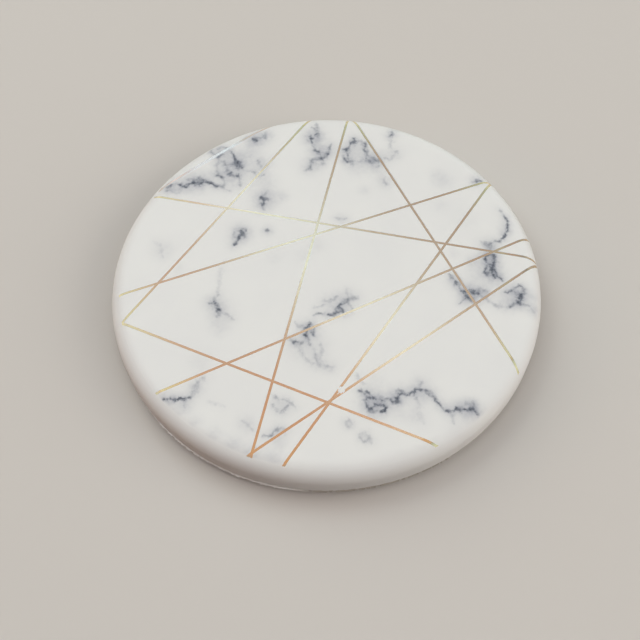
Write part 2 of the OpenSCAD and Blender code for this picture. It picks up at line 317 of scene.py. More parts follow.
# Gaps left along the rim and the gold, sides of the rim, steps along the gold and its run past the rim
RIM_GAP, GOLD_GAP = 0.15, 0.09
PRINT_SIDES = 720
GOLD_STEP, GOLD_OVERRUN = 0.5, 1.5

# Noise that bends the strokes, changes their width and breaks them up, by its depth, size and seeds
BENDS = ((0.30, 1.3, 3.1, 7.7), (0.16, 0.6, 15.2, 18.6))
UNEVEN = (0.9, 12.4)
PATCHES = ((0.6, 1.7, 21.9), (0.6, 0.8, 25.3))

# A vein's core: its strength and most; its width against the stroke's, the share of it at the ends, its
# unevenness and its least; how sharply it ends; and the share that is left where it breaks up
CORE_STRENGTH, CORE_MOST = 0.95, 0.98
CORE_WIDTH, CORE_ENDS, CORE_UNEVEN, CORE_THINNEST = 1.26, 0.75, 0.50, 0.05
CORE_FALL = 1.7
PATCH_LEVEL, PATCH_SWING, PATCH_LEAST, PATCH_MOST = 0.84, 0.75, 0.25, 1.15

# A vein's soft halo: its strength, its width against the stroke's and what is added, and how it ends
HALO_STRENGTH, HALO_WIDTH, HALO_EXTRA, HALO_FALL = 0.26, 2.3, 0.45, 1.5

# The patchiness of a cloud or of painted shade, the most that a halo, cloud or painted shade darkens, and
# how far around it a stroke reaches
CLOUD_PATCHY, SOFT_MOST, STROKE_MARGIN = 0.5, 0.9, 4

# Raised flash: the depths of its root and foot in the wall and of its underside behind the lip, the heights
# of its profile, and its ragged lip's level, least share, fade at the ends and noise
FLASH_STEPS = 420
FLASH_ROOT, FLASH_WALL, FLASH_UNDERCUT = 0.6 * MM, 0.02 * MM, 0.03 * MM
FLASH_HEIGHTS = (0.22, 0.18, 0.11, 0.05, 0.01)
FLASH_LEVEL, FLASH_LEAST, FLASH_FADE = 0.42, 0.05, 0.1
FLASH_NOISE = ((0.9, 1.9, 51.0), (0.9, 0.6, 57.0))

# Cork: its spacing, the gap inside its rim, the rim's sides and width; its pits; its cut edge's wear and
# lean, its seeds at the top and bottom, and its levels between these, as shares of the thickness
CORK_SPACING, CORK_GAP, CORK_SIDES, CORK_RIM = 0.9, 0.6, 480, 0.05
PIT_DEPTH, PIT_SIZE, PIT_SEED, PIT_LEVEL = 0.10, 0.8, 31.0, 0.15
WEAR_DEPTH, WEAR_SIZE, WEAR_LEVEL, CORK_LEAN = 0.30, 1.1, 0.5, 0.12
CORK_TOP_SEED, CORK_BOTTOM_SEED = 41.0, 45.0
CORK_LEVELS = (0.85, 0.6, 0.4, 0.18)

# Points closer than MERGE are one, and less than TINY is nothing; faces at more than the angle stay sharp
MERGE, TINY = 1e-7, 1e-9
SHARP_ANGLE = math.radians(35)

# Fractal noise: how fast its octaves weaken and shrink, and their number
FRACTAL = (0.5, 2.0, 3)


# Meshes

def new_piece(name, points, faces):
    """Mesh object, linked to the scene."""
    mesh = bpy.data.meshes.new(name)
    mesh.from_pydata(points, [], faces)
    piece = bpy.data.objects.new(name, mesh)
    bpy.context.scene.collection.objects.link(piece)
    return piece


def surface_points(plan, inset):
    """Points of the disc's surface over the plan points, moved in along its normals."""
    radius = np.hypot(plan[:, 0], plan[:, 1])
    out = np.clip((radius - (WALL_R - SHOULDER_R)) / SHOULDER_R, 0, 1)
    rise = np.sqrt(1 - out ** 2)
    along = plan / np.maximum(radius, TINY)[:, None]
    height = TOP_Z - SHOULDER_R + rise * (SHOULDER_R - inset)
    return np.column_stack([plan - along * (out * inset)[:, None], height])


def closed_shell(name, top, bottom, triangles, rings=()):
    """Closed mesh between two layers of the same triangles; rings are layers of its rim between them."""
    count = len(top)
    directed = dict.fromkeys(edge for a, b, c in triangles for edge in ((a, b), (b, c), (c, a)))
    rim = [edge for edge in directed if (edge[1], edge[0]) not in directed]
    rim_vertices = sorted({edge[0] for edge in rim})
    layers = [{v: v for v in rim_vertices}]
    for k in range(len(rings)):
        first = 2 * count + k * len(rim_vertices)
        layers.append({v: first + i for i, v in enumerate(rim_vertices)})
    layers.append({v: v + count for v in rim_vertices})
    faces = [tuple(triangle) for triangle in triangles]
    faces += [(c + count, b + count, a + count) for a, b, c in triangles]
    for a, b in rim:
        for upper, lower in zip(layers, layers[1:]):
            faces.append((upper[a], lower[a], lower[b], upper[b]))
    points = np.concatenate([top, bottom, *(ring[rim_vertices] for ring in rings)])
    piece = new_piece(name, points.tolist(), faces)
    piece.data.polygons.foreach_set("use_smooth", [True] * len(faces))
    piece.data.set_sharp_from_angle(angle=SHARP_ANGLE)
    return piece


def triangulate(points, edges):
    """Constrained triangulation in millimetres, as (points, triangles turning left)."""
    found = geometry.delaunay_2d_cdt([Vector(p) for p in points], edges, [], 0, MERGE)
    verts = np.array([tuple(v) for v in found[0]], float)
    triangles = np.array([tuple(f) for f in found[2]], int)
    a, b, c = (verts[triangles[:, i]] for i in range(3))
    turn = (b[:, 0] - a[:, 0]) * (c[:, 1] - a[:, 1]) - (b[:, 1] - a[:, 1]) * (c[:, 0] - a[:, 0])
    triangles[turn < 0] = triangles[turn < 0][:, ::-1]
    return verts, triangles[np.abs(turn) > TINY]


def honeycomb(spacing, reach):
    """Points of an even triangular grid over a square of twice the reach."""
    row = spacing * math.sqrt(3) / 2
    rows = int(reach / row)
    columns = int(reach / spacing)
    grid = [
        ((i + (j % 2) / 2) * spacing, j * row)
        for j in range(-rows, rows + 1)
        for i in range(-columns, columns + 1)
    ]
    return np.array(grid)


def circle(radius, sides, centre=(0, 0)):
    """Corners of a regular polygon in plan."""
    turns = (2 * math.pi * i / sides for i in range(sides))
    return [(centre[0] + radius * math.cos(t), centre[1] + radius * math.sin(t)) for t in turns]


def ring_edges(first, count):
    """Edges that join so many points in a ring."""
    return [(first + i, first + (i + 1) % count) for i in range(count)]


def near_path(points, path):
    """Indices of the points in the box around a path, with a margin."""
    low = np.min(path, axis=0) - STROKE_MARGIN
    high = np.max(path, axis=0) + STROKE_MARGIN
    return np.flatnonzero(((points > low) & (points < high)).all(1))


def distance_to_path(points, path):
    """Distance from each point to a path, and how far along the path that is, from 0 to 1."""
    lengths = np.hypot(*(path[1:] - path[:-1]).T)
    total = lengths.sum()
    best = np.full(len(points), np.inf)
    along = np.zeros(len(points))
    passed = 0
    for start, end, length in zip(path[:-1], path[1:], lengths):
        step = (end - start) / length
        t = np.clip((points - start) @ step, 0, length)
        distance = np.hypot(*(points - start - t[:, None] * step).T)
        nearer = distance < best
        best[nearer] = distance[nearer]
        along[nearer] = (passed + t[nearer]) / total
        passed += length
    return best, along


def wavy(points, size, seed):
    """Smooth noise, about -1 to 1, with features of the given size, at plan points."""
    return np.array([
        noise.fractal(Vector((x / size + seed, y / size - seed, seed)), *FRACTAL)
        for x, y in points
    ])


def layered(points, layers, level=0):
    """A level plus layers of noise, each given by its depth, its size and its seed."""
    for depth, size, seed in layers:
        level = level + depth * wavy(points, size, seed)
    return level


def marble_fields(points):
    """Darkness of the veins, and of the clouds with the painted shade along the near-left rim, from 0 to 1,
    at plan points.
    """
    bent = points.copy()
    for reach, size, *seeds in BENDS:
        bent += reach * np.column_stack([wavy(points, size, seed) for seed in seeds])
    uneven = wavy(points, *UNEVEN)
    patchy = layered(points, PATCHES)
    clear_vein = np.ones(len(points))
    clear_of_cloud_and_shade = np.ones(len(points))
    for darkness, half_width, path in STROKES:
        near = near_path(bent, path)
        distance, along = distance_to_path(bent[near], path)
        taper = CORE_ENDS + (1 - CORE_ENDS) * np.sin(math.pi * np.clip(along, 0, 1)) ** 0.5
        width = CORE_WIDTH * half_width * taper * (1 + CORE_UNEVEN * uneven[near])
        broken = np.clip(PATCH_LEVEL + PATCH_SWING * patchy[near], PATCH_LEAST, PATCH_MOST)
        core = np.exp(-(distance / np.maximum(width, CORE_THINNEST)) ** CORE_FALL)
        halo = np.exp(-(distance / (HALO_WIDTH * half_width + HALO_EXTRA)) ** HALO_FALL)
        clear_vein[near] *= 1 - np.clip(CORE_STRENGTH * darkness * broken * core, 0, CORE_MOST)
        clear_of_cloud_and_shade[near] *= 1 - np.clip(HALO_STRENGTH * darkness * halo, 0, SOFT_MOST)
    for x, y, radius, darkness in CLOUDS_AND_PAINTED_SHADE:
        distance = np.hypot(bent[:, 0] - x, bent[:, 1] - y)
        cloud_and_shade = darkness * (1 + CLOUD_PATCHY * patchy) * np.exp(-(distance / radius) ** 2)
        clear_of_cloud_and_shade *= 1 - np.clip(cloud_and_shade, 0, SOFT_MOST)
    printed = np.clip((PRINT_R - np.hypot(*(points - PRINT_CENTRE).T)) / EDGE_FADE, 0, 1)
    return (1 - clear_vein) * printed, (1 - clear_of_cloud_and_shade) * printed


def near_vein(points):
    """Whether each plan point lies near a vein."""
    nearest = np.full(len(points), np.inf)
    for _, _, path in STROKES:
        near = near_path(points, path)
        nearest[near] = np.minimum(nearest[near], distance_to_path(points[near], path)[0])
    return nearest < VEIN_ZONE


def gold_strips():
    """Start, direction along, direction across and length of each gold line."""
    strips = []
    for ends in LINE_ENDS:
        start, end = (
            PRINT_CENTRE + PRINT_R * np.array([math.cos(t), math.sin(t)])
            for t in np.radians(ends)
        )
        length = np.hypot(*(end - start))
        along = (end - start) / length
        strips.append((start, along, np.array([-along[1], along[0]]), length))
    return strips


def off_line(points, strip):
    """Distance of plan points from the middle of a gold line."""
    start, _, across, _ = strip
    return np.abs((points - start) @ across)


def print_grid(strips):
    """Plan points inside the print, closest together near the veins."""
    fine = honeycomb(VEIN_SPACING, GRID_REACH)
    middle = honeycomb(SHOULDER_SPACING, GRID_REACH)
    coarse = honeycomb(FLAT_SPACING, GRID_REACH)
    on_shoulder = np.hypot(*middle.T) > FLAT_R - SHOULDER_ZONE
    on_flat = np.hypot(*coarse.T) <= FLAT_R
    grid = np.concatenate([
        fine[near_vein(fine)],
        middle[on_shoulder & ~near_vein(middle)],
        coarse[on_flat & ~near_vein(coarse)],
    ])
    keep = np.hypot(*(grid - PRINT_CENTRE).T) < PRINT_R - RIM_GAP
    for strip in strips:
        keep &= np.abs(off_line(grid, strip) - HALF_LINE) > GOLD_GAP
    return grid[keep]


def gold_edge(strip, sign):
    """Points along one edge of a gold line; its two ends run on past the rim."""
    start, along, across, length = strip
    steps = max(2, int(length / GOLD_STEP))
    points = []
    for k in range(steps + 1):
        overrun = GOLD_OVERRUN * (k == steps) - GOLD_OVERRUN * (k == 0)
        middle = start + along * (length * k / steps + overrun)
        points.append(tuple(middle + across * sign * HALF_LINE))
    return points


def cut_plan():
    """Plan cut along the rim and the gold: its points, and the print's and the gold's triangles."""
    strips = gold_strips()
    points = [tuple(p) for p in print_grid(strips)]
    edges = ring_edges(len(points), PRINT_SIDES)
    points += circle(PRINT_R, PRINT_SIDES, PRINT_CENTRE)
    for strip in strips:
        for sign in (-1, 1):
            first = len(points)
            points += gold_edge(strip, sign)
            edges += [(k, k + 1) for k in range(first, len(points) - 1)]
    verts, triangles = triangulate(points, edges)
    middles = verts[triangles].mean(1)
    inside = np.hypot(*(middles - PRINT_CENTRE).T) < PRINT_R * math.cos(math.pi / PRINT_SIDES)
    gilded = np.zeros(len(triangles), bool)
    for strip in strips:
        gilded |= off_line(middles, strip) < HALF_LINE
    return verts, triangles[inside & ~gilded], triangles[inside & gilded]


def inlay(name, verts, triangles, depth):
    """Piece that lies flush in the coat to the given depth, and its plan points."""
    used, compact = np.unique(triangles, return_inverse=True)
    plan = verts[used]
    top = surface_points(plan * MM, 0)
    bottom = surface_points(plan * MM, depth)
    return closed_shell(name, top, bottom, compact.reshape(-1, 3).tolist()), plan


def decal_and_gold():
    """The decal with the gold lines' grooves, and the gold that fills them, cut from one triangulation."""
    verts, print_triangles, gold_triangles = cut_plan()
    print_piece, plan = inlay("marble_print", verts, print_triangles, DECAL_T)
    gold_piece, _ = inlay("gold_foil", verts, gold_triangles, GOLD_T)
    for name, values in zip(("vein", "cloud_and_shade"), marble_fields(plan)):
        attribute = print_piece.data.attributes.new(name, "FLOAT", "POINT")
        attribute.data.foreach_set("value", np.tile(values, 2).astype(np.float32))
    return print_piece, gold_piece


def sweep_faces(count, steps):
    """Faces of a closed profile of so many points, swept over the steps and capped."""
    row = steps + 1
    faces = [tuple(row * k for k in range(count)), tuple(row * k + steps for k in reversed(range(count)))]
    for k in range(count):
        here, after = row * k, row * ((k + 1) % count)
        faces += [(here + i, here + i + 1, after + i + 1, after + i) for i in range(steps)]
    return faces


def coat_flash():
    """Raised part of the coat's ragged flash: a thin fin at the foot that catches the light."""
    turn = np.radians(np.linspace(FLASH_START, FLASH_END, FLASH_STEPS + 1))
    outward = np.column_stack([np.cos(turn), np.sin(turn)])
    ragged = layered(outward * (WALL_R / MM), FLASH_NOISE, FLASH_LEVEL)
    share = np.linspace(0, 1, FLASH_STEPS + 1)
    fade = np.clip(np.minimum(share, 1 - share) / FLASH_FADE, 0, 1)
    lip = WALL_R + FLASH_REACH * np.clip(ragged, FLASH_LEAST, 1) * fade
    root = np.full_like(lip, WALL_R - FLASH_ROOT)
    wall = np.full_like(lip, WALL_R - FLASH_WALL)
    points = []
    for radius, height in zip((root, wall, lip, lip - FLASH_UNDERCUT, root), FLASH_HEIGHTS):
        level = np.full_like(lip, SEAT_Z + height * MM)
        points.append(np.column_stack([outward * radius[:, None], level]))
    faces = sweep_faces(len(points), FLASH_STEPS)
    return new_piece("coat_flash", np.concatenate(points).tolist(), faces)


def cork_disc():
    """Pad of pressed granules: shallow pits in the face that it stands on, and a crumbly cut edge."""
    radius = CORK_R / MM
    thickness = CORK_T / MM
    grid = honeycomb(CORK_SPACING, radius)
    grid = grid[np.hypot(*grid.T) < radius - CORK_GAP]
    points = [tuple(p) for p in grid]
    edges = ring_edges(len(points), CORK_SIDES)
    verts, triangles = triangulate(points + circle(radius, CORK_SIDES), edges)
    out = np.hypot(*verts.T)
    on_rim = out > radius - CORK_RIM

    def layer(height, seed, lean=0):
        """Points at one level of the pad, with its rim worn."""
        worn = WEAR_DEPTH * np.clip(WEAR_LEVEL + wavy(verts, WEAR_SIZE, seed), 0, 1) + lean
        plan = verts * ((out - worn * on_rim) / np.maximum(out, TINY))[:, None]
        return np.column_stack([plan, np.broadcast_to(height, len(verts))]) * MM

    pits = PIT_DEPTH * np.clip(wavy(verts, PIT_SIZE, PIT_SEED) + PIT_LEVEL, 0, 1)
    top = layer(thickness, CORK_TOP_SEED, CORK_LEAN)
    bottom = layer(pits, CORK_BOTTOM_SEED, CORK_LEAN)
    seed_span = CORK_BOTTOM_SEED - CORK_TOP_SEED
    rings = [layer(thickness * share, CORK_TOP_SEED + seed_span * share) for share in CORK_LEVELS]
    return closed_shell("cork_granules", top, bottom, triangles.tolist(), rings)


# Nodes

def material(name):
    """New node material, as itself, its tree, its Principled shader and its object coordinates."""
    made = bpy.data.materials.new(name)
    made.use_nodes = True
    tree = made.node_tree
    shader = tree.nodes["Principled BSDF"]
    place = tree.nodes.new("ShaderNodeTexCoord").outputs["Object"]
    return made, tree, shader, place


def noise_node(tree, place, per_mm, detail=3, roughness=0.5, distortion=0):
    """Noise from 0 to 1, with so many features a millimetre."""
    made = tree.nodes.new("ShaderNodeTexNoise")
    made.inputs["Scale"].default_value = per_mm / MM
    made.inputs["Detail"].default_value = detail
    made.inputs["Roughness"].default_value = roughness
    made.inputs["Distortion"].default_value = distortion
    tree.links.new(place, made.inputs["Vector"])
    return made.outputs["Fac"]


def cell_node(tree, place, per_mm, feature):
    """Outputs of a Voronoi node, with so many cells a millimetre."""
    made = tree.nodes.new("ShaderNodeTexVoronoi")
    made.feature = feature
    made.inputs["Scale"].default_value = per_mm / MM
    tree.links.new(place, made.inputs["Vector"])
    return made.outputs


def ramp(tree, value, *stops):
    """Colour ramp through (place, colour) stops."""
    made = tree.nodes.new("ShaderNodeValToRGB")
    elements = made.color_ramp.elements
    while len(elements) < len(stops):
        elements.new(0.5)
    for element, (place, colour) in zip(elements, stops):
        element.position = place
        element.color = colour
    tree.links.new(value, made.inputs["Fac"])
    return made.outputs["Color"]


def math_node(tree, operation, a, b, clamp=False):
    """Result of an operation on two values, each a socket or a number."""
    made = tree.nodes.new("ShaderNodeMath")
    made.operation = operation
    made.use_clamp = clamp
    for socket, value in zip(made.inputs, (a, b)):
        if isinstance(value, (int, float)):
            socket.default_value = value
        else:
            tree.links.new(value, socket)
    return made.outputs["Value"]


def product(tree, first, *others):
    """All the values multiplied together."""
    for other in others:
        first = math_node(tree, "MULTIPLY", first, other)
    return first


def rising(tree, length, start, end):
    """Share from 0 where the length is at the start to 1 where it is at the end, in millimetres."""
    past = math_node(tree, "SUBTRACT", length, start * MM)
    return math_node(tree, "DIVIDE", past, (end - start) * MM, clamp=True)


def vector_node(tree, operation, vector, other=None):
    """Outputs of a vector math node on a socket and perhaps a fixed vector."""
    made = tree.nodes.new("ShaderNodeVectorMath")
    made.operation = operation
    tree.links.new(vector, made.inputs[0])
    if other is not None:
        made.inputs[1].default_value = other
    return made.outputs


def axes(tree, vector):
    """The X, Y and Z of a vector."""
    made = tree.nodes.new("ShaderNodeSeparateXYZ")
    tree.links.new(vector, made.inputs["Vector"])
    return [made.outputs[axis] for axis in "XYZ"]


def carried(tree, name):
    """Share that the mesh carries in an attribute."""
    made = tree.nodes.new("ShaderNodeAttribute")
    made.attribute_name = name
    return made.outputs["Fac"]


def mix_colour(tree, share, a, b, blend="MIX"):
    """Colour a mixed with colour b by the share, each a socket or a fixed value."""
    made = tree.nodes.new("ShaderNodeMix")
    made.data_type = "RGBA"
    made.blend_type = blend
    # sockets 6 and 7 are those for colours
    for place, value in ((0, share), (6, a), (7, b)):
        if isinstance(value, (int, float, tuple)):
            made.inputs[place].default_value = value
        else:
            tree.links.new(value, made.inputs[place])
    return made.outputs[2]


def bump(tree, shader, height, strength, depth):
    """Relief in the shader's normal, as deep in millimetres as a height of 1."""
    made = tree.nodes.new("ShaderNodeBump")
    made.inputs["Strength"].default_value = strength
    made.inputs["Distance"].default_value = depth * MM
    tree.links.new(height, made.inputs["Height"])
    tree.links.new(made.outputs["Normal"], shader.inputs["Normal"])


# Colours

def linear(*srgb):
    """Shader colour of a display colour, whose three values run from 0 to 255."""
    def channel(value):
        value /= 255
        return value / 12.92 if value <= 0.04045 else ((value + 0.055) / 1.055) ** 2.4
    return (*[channel(value) for value in srgb], 1)


def grey(level):
    """Grey shader colour."""
    return (level, level, level, 1)


WHITE = linear(243, 243, 239)
OFF_WHITE = linear(240, 240, 237)
# Painted shade for the flash at the foot
PAINTED_FOOT_SHADE = linear(190, 182, 172)
SPOT_WHITE = linear(240, 240, 238)

CLOUD_AND_SHADE_GREY = linear(151, 155, 169)
INK = ((0.0, linear(167, 171, 180)), (0.45, linear(133, 138, 148)), (1.0, linear(84, 90, 101)))
INK_COVER = ((0.02, grey(0)), (0.6, grey(0.85)), (1.0, grey(1)))

# The foil along its middle, and its painted reflections: pale near the rim, darker at the lines' right
# tips, and pale in the short chord
FOIL = ((0.3, (0.93, 0.62, 0.39, 1)), (0.7, (0.97, 0.66, 0.43, 1)))
PAINTED_RIM_REFLECTION = (1.0, 0.86, 0.50, 1)
PAINTED_TIP_REFLECTION = (0.74, 0.56, 0.37, 1)
PAINTED_CHORD_REFLECTION = (1.0, 0.84, 0.70, 1)

BISCUIT = ((0.3, linear(214, 208, 198)), (0.7, linear(224, 219, 210)))
PORES = ((0.34, linear(186, 178, 166)), (0.42, grey(1)))

GRANULES = (
    (0.0, linear(126, 88, 52)),
    (0.25, linear(168, 124, 80)),
    (0.7, linear(196, 152, 104)),
    (1.0, linear(214, 172, 124)),
)
GRANULE_GAPS = ((0.0, linear(84, 54, 32)), (0.08, grey(1)))
FIBRES = ((0.3, grey(0.75)), (0.6, grey(1)))

GLUE = ((0.3, linear(226, 216, 188)), (0.7, linear(238, 230, 206)))

# What the floor shows, what its glow on the object is, and the background behind it
FLOOR = linear(216, 211, 204)
TABLE_GLOW = (0.12, 0.08, 0.06, 1)
BACKGROUND = linear(199, 193, 185)

# Soft light of the sky, and the surround that the gold mirrors, by the height of the direction
GLOW = ((0.60, grey(0.02)), (0.72, (0.432, 0.442, 0.472, 1)))
SURROUND = (
    (0.0, (0.56, 0.615, 0.68, 1)),
    (0.45, (0.56, 0.615, 0.68, 1)),
    (0.62, (0.48, 0.54, 0.56, 1)),
    (0.76, (0.38, 0.445, 0.54, 1)),
    (0.84, (0.41, 0.455, 0.52, 1)),
    (0.89, (0.55, 0.425, 0.37, 1)),
    (0.95, (0.61, 0.47, 0.37, 1)),
)


# Materials

# Where shares rise from 0 to 1, in millimetres: the painted shade at the foot; the foil's painted pale
# reflection towards the rim, off the right tips, and the front that takes its share away; the painted
# darker reflection at the right tips; the painted pale reflection in the short chord
FOOT_SHADE_SPAN = (-9, -3)
TO_RIM, OFF_TIPS = (38, 46), (43, 41.5)
TO_FRONT, OFF_FRONT_LEFT, OFF_FRONT_RIGHT = (-34, -38), (-26, -18), (21, 18.5)
FRONT_SHARE = 0.8
AT_TIPS = (44.5, 46.5)
AT_CHORD, TO_CHORD = (43.5, 44.5), (-0.598, 0.801, 0)


def white_finish(tree, shader, place):
    """Satin white of the coat and of the print's ground: faint mottling and a fine orange peel."""
    mottle = noise_node(tree, place, 0.09, detail=4)
    fine = noise_node(tree, place, 2.2)
    shader.inputs["Specular IOR Level"].default_value = 0.4
    roughness = ramp(tree, fine, (0.3, grey(0.42)), (0.7, grey(0.52)))
    tree.links.new(roughness, shader.inputs["Roughness"])
    swell = math_node(tree, "MULTIPLY", noise_node(tree, place, 0.45, detail=2), 1.5)
    bump(tree, shader, math_node(tree, "ADD", fine, swell), strength=0.25, depth=0.012)
    return ramp(tree, mottle, (0.3, OFF_WHITE), (0.7, WHITE))


def glaze_material():
    """White coat, with painted shade darkening the flash at the foot towards the right, where the flash is
    not to stand out.
    """
    made, tree, shader, place = material("white_coat")
    ground = white_finish(tree, shader, place)
    x, _, z = axes(tree, place)
    at_foot = math_node(tree, "LESS_THAN", z, SEAT_Z + FLASH_TOP)
    # Painted shade on the flash at the foot, rising towards the right
    painted_shade = product(tree, at_foot, rising(tree, x, *FOOT_SHADE_SPAN))
    tree.links.new(mix_colour(tree, painted_shade, ground, PAINTED_FOOT_SHADE), shader.inputs["Base Color"])
    return made


def marble_material():
    """Print on the white ground: clouds and painted shade along the near-left rim, and veins over them,
    both grained by noise.
    """
    made, tree, shader, place = material("marble")
    ground = white_finish(tree, shader, place)
    grain = noise_node(tree, place, 1.6, detail=4, roughness=0.65, distortion=0.6)
    wisp = noise_node(tree, place, 0.42, detail=5, roughness=0.6, distortion=1.2)
    vein = product(tree, carried(tree, "vein"), math_node(tree, "ADD", grain, 0.52))
    cloud_and_shade = product(tree, carried(tree, "cloud_and_shade"), math_node(tree, "ADD", wisp, 0.5))
    # The clouds here include the painted shade along the near-left rim
    clouded_and_shaded = mix_colour(tree, cloud_and_shade, ground, CLOUD_AND_SHADE_GREY)
    printed = mix_colour(tree, ramp(tree, vein, *INK_COVER), clouded_and_shaded, ramp(tree, vein, *INK))
    tree.links.new(printed, shader.inputs["Base Color"])
    return made


def painted_reflection_share(tree, x, y, radius):
    """Share of the painted pale reflection: it grows towards the rim, less at the front, and not at the
    right tips.
    """
    front = product(
        tree,
        rising(tree, y, *TO_FRONT),
        rising(tree, x, *OFF_FRONT_LEFT),
        rising(tree, x, *OFF_FRONT_RIGHT),
    )
    kept = math_node(tree, "SUBTRACT", 1, product(tree, front, FRONT_SHARE))
    return product(tree, rising(tree, radius, *TO_RIM), rising(tree, x, *OFF_TIPS), kept)


def foil_colour(tree, place):
    """Warm gold, varied over the foil to stand in for what it mirrors in the photograph."""
    x, y, _ = axes(tree, place)
    plan = vector_node(tree, "MULTIPLY", place, (1, 1, 0))["Vector"]
    radius = vector_node(tree, "LENGTH", plan)["Value"]
    towards_chord = vector_node(tree, "DOT_PRODUCT", place, TO_CHORD)["Value"]
    colour = ramp(tree, noise_node(tree, place, 0.5), *FOIL)
    # Painted reflections: pale towards the rim, darker at the right tips, pale in the short chord
    colour = mix_colour(tree, painted_reflection_share(tree, x, y, radius), colour, PAINTED_RIM_REFLECTION)
    colour = mix_colour(tree, rising(tree, x, *AT_TIPS), colour, PAINTED_TIP_REFLECTION)
    return mix_colour(tree, rising(tree, towards_chord, *AT_CHORD), colour, PAINTED_CHORD_REFLECTION)


def white_spot_mask(tree, place, grain):
    """1 in the small ragged spot where the foil is matt white and not metallic, and 0 elsewhere."""
    middle = (WHITE_SPOT[0] * MM, WHITE_SPOT[1] * MM, TOP_Z)
    distance = vector_node(tree, "DISTANCE", place, middle)["Value"]
    fray = product(tree, math_node(tree, "SUBTRACT", grain, 0.5), WHITE_SPOT_FRAY * MM)
    return math_node(tree, "LESS_THAN", math_node(tree, "ADD", distance, fray), WHITE_SPOT_REACH * MM)


def gold_material():
    """Gold foil, faintly grained."""
    made, tree, shader, place = material("gold_foil")
    grain = noise_node(tree, place, 3.0, detail=4, roughness=0.6)
    in_white_spot = white_spot_mask(tree, place, grain)
    colour = mix_colour(tree, in_white_spot, foil_colour(tree, place), SPOT_WHITE)
    roughness = ramp(tree, grain, (0.3, grey(0.16)), (0.75, grey(0.21)))
    tree.links.new(colour, shader.inputs["Base Color"])
    tree.links.new(math_node(tree, "SUBTRACT", 1, in_white_spot), shader.inputs["Metallic"])
    tree.links.new(roughness, shader.inputs["Roughness"])
    bump(tree, shader, grain, strength=0.3, depth=0.006)
    return made


def biscuit_material():
    """Bare fired ceramic of the underside, with dark pores."""
    made, tree, shader, place = material("bare_ceramic")
    pores = noise_node(tree, place, 3.5, detail=4, roughness=0.7)
    body = ramp(tree, noise_node(tree, place, 0.12), *BISCUIT)
    specked = mix_colour(tree, 0.8, body, ramp(tree, pores, *PORES), "MULTIPLY")
    tree.links.new(specked, shader.inputs["Base Color"])
    shader.inputs["Roughness"].default_value = 0.85
    bump(tree, shader, pores, strength=0.5, depth=0.03)
    return made


def cork_material():
    """Pressed granules of several browns, with dark gaps between them."""
    made, tree, shader, place = material("cork")
    cells = cell_node(tree, place, 0.75, "F1")
    to_gap = cell_node(tree, place, 0.75, "DISTANCE_TO_EDGE")["Distance"]
    shade = tree.nodes.new("ShaderNodeSeparateColor")
    tree.links.new(cells["Color"], shade.inputs["Color"])
    fibre = noise_node(tree, place, 4, detail=4, roughness=0.7)
    granule = ramp(tree, shade.outputs["Red"], *GRANULES)
    pressed = mix_colour(tree, 0.85, granule, ramp(tree, to_gap, *GRANULE_GAPS), "MULTIPLY")
    streaked = mix_colour(tree, 1.0, pressed, ramp(tree, fibre, *FIBRES), "MULTIPLY")
    tree.links.new(streaked, shader.inputs["Base Color"])
    shader.inputs["Roughness"].default_value = 0.9
    height = math_node(tree, "ADD", to_gap, product(tree, fibre, 0.3))
    bump(tree, shader, height, strength=0.6, depth=0.12)
    return made


def adhesive_material():
    """Dull yellowish film of glue."""
    made, tree, shader, place = material("adhesive")
    colour = ramp(tree, noise_node(tree, place, 0.3), *GLUE)
    tree.links.new(colour, shader.inputs["Base Color"])
    shader.inputs["Roughness"].default_value = 0.4
    bump(tree, shader, noise_node(tree, place, 1.2, detail=2), strength=0.3, depth=0.02)
    return made


# Pieces

def dress(node_name, made):
    """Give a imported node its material."""
    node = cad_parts[node_name]
    node.data.materials.clear()
    node.data.materials.append(made)


def add_piece(piece, node_name, made):
    """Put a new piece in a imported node's place."""
    piece.data.materials.append(made)
    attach(piece, "root")
    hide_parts(node_name)


marble_piece, gold_piece = decal_and_gold()
add_piece(marble_piece, "marble_decal", marble_material())
add_piece(gold_piece, "gold_linework", gold_material())
add_piece(cork_disc(), "cork_pad", cork_material())
glaze = glaze_material()
dress("glaze_coat", glaze)
flash_piece = coat_flash()
flash_piece.data.materials.append(glaze)
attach(flash_piece, "root")
dress("ceramic_body", biscuit_material())
dress("adhesive_film", adhesive_material())


# Stage, light and camera

# Radius and sides of the floor, and the distances in millimetres between which it fades to the background
FLOOR_R = 1.3
FLOOR_SIDES = 96
FADE = (220, 450)

# Panels that the gold mirrors: name, azimuth, elevation, distance, width, height, level, colour and roll
PANELS = [
    ("strip", 7.0, 59.1, 3.0, 1.62, 0.25, 1.0, (0.60, 1.21, 1.60), -39),
    ("left_end", -34, 61.5, 3.0, 0.72, 0.42, 0.34, (0.65, 1.0, 1.08)),
    ("left_panel", -62, 42, 1.3, 1.9, 1.0, 0.17, (1.15, 1.0, 1.2)),
    ("right_panel", 95, 35, 1.3, 1.9, 1.0, 0.14, (0.7, 0.9, 1.1)),
]

# Fills that light the white, and that nothing mirrors, in the same order
FILLS = [
    ("left", -45, 38, 1.3, 1.0, 1.2, 2.17, (0.96, 1.03, 0.98)),
    ("left_low", -95, 18, 1.3, 1.0, 0.45, 1.0, (1.6, 0.8, 0.4)),
    ("right", 95, 25, 1.3, 1.0, 0.8, 2.2, (1.10, 1.034, 0.93)),
    ("front_right", 135, 28, 1.3, 1.0, 0.9, 1.43, (1.09, 0.99, 0.93)),
    ("back", 0, 18, 1.3, 1.0, 0.45, 0.4, (1.3, 0.8, 0.3)),
]


def direction(azimuth, elevation):
    """Unit vector; azimuth 0 is +Y and 90 is +X, in degrees."""
    a, e = math.radians(azimuth), math.radians(elevation)
    return Vector((math.sin(a) * math.cos(e), math.cos(a) * math.cos(e), math.sin(e)))


